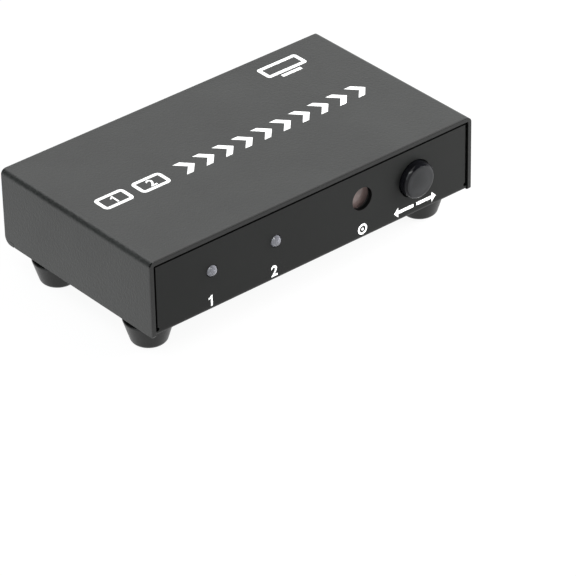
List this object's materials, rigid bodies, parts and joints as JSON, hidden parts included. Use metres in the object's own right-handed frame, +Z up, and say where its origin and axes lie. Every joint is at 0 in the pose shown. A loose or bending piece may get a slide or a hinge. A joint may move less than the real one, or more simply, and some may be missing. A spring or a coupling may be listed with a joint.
{
  "type": "video switch box",
  "caption": "Low black folded-steel switch box on tapered rubber feet, with a round select button, indicator lamps and an infrared window in front and video sockets and a power inlet behind.",
  "frame": {"origin": "on the table, under the middle of the whole object's box", "axes": "+X to the right seen from the front, +Y to the back, +Z up; the front panel faces -Y"},
  "size_m": [0.103, 0.0628, 0.03],
  "materials": {
    "cover_paint": "fine textured black paint",
    "panel_paint": "satin black paint",
    "foot_rubber": "matte",
    "zinc": "zinc plated",
    "nickel": "nickel plated",
    "standoff_brass": "satin",
    "contact_gold": "gold plated",
    "tinned": "tinned",
    "board_mask": "green solder mask",
    "black_plastic": "fine moulded",
    "plunger_plastic": "moulded",
    "lamp_clear": "clear, slightly milky",
    "window_red": "dark red filter",
    "button_black": "gloss side, satin face",
    "foam": "open-cell foam",
    "capacitor_sleeve": "dark blue sleeve",
    "chip_ceramic": "ceramic"
  },
  "bodies": {
    "case": {"cover": "cover_paint", "chassis": "panel_paint", "rear_panel": "panel_paint", "bracket_left": "zinc", "bracket_right": "zinc", "cover_screws": "zinc", "cover_nuts": "zinc", "foot_front_left": "foot_rubber", "foot_front_right": "foot_rubber", "foot_rear_left": "foot_rubber", "foot_rear_right": "foot_rubber", "foot_washers": "zinc", "foot_screws": "zinc", "foot_nuts": "zinc", "standoffs": "standoff_brass", "board_screws": "zinc", "main_board": "board_mask", "video_out_shell": "nickel", "video_out_insulator": "black_plastic", "video_out_contacts": "contact_gold", "video_in_1_shell": "nickel", "video_in_1_insulator": "black_plastic", "video_in_1_contacts": "contact_gold", "video_in_2_shell": "nickel", "video_in_2_insulator": "black_plastic", "video_in_2_contacts": "contact_gold", "power_jack_housing": "black_plastic", "power_jack_pin": "nickel", "power_jack_spring": "nickel", "lamp_1_lens": "lamp_clear", "lamp_1_leads": "tinned", "lamp_1_holder": "black_plastic", "lamp_2_lens": "lamp_clear", "lamp_2_leads": "tinned", "lamp_2_holder": "black_plastic", "ir_window": "window_red", "ir_foam_ring": "foam", "ir_receiver": "black_plastic", "ir_receiver_leads": "tinned", "switch_frame": "tinned", "switch_body": "black_plastic", "switch_dome": "tinned", "switch_terminals": "tinned", "switch_ic": "black_plastic", "switch_ic_leads": "tinned", "control_ic": "black_plastic", "control_ic_leads": "tinned", "regulator": "black_plastic", "regulator_leads": "tinned", "capacitor_left": "capacitor_sleeve", "capacitor_right": "capacitor_sleeve", "crystal": "tinned", "chip_parts": "chip_ceramic"},
    "button": {"select_button": "button_black", "switch_plunger": "plunger_plastic"}
  },
  "joints": [
    {"name": "select_press", "type": "slide", "parent": "case", "child": "button", "axis": [0, 1, 0], "range_m": [0, 0.0005], "stiffness_N_per_m": 800}
  ]
}
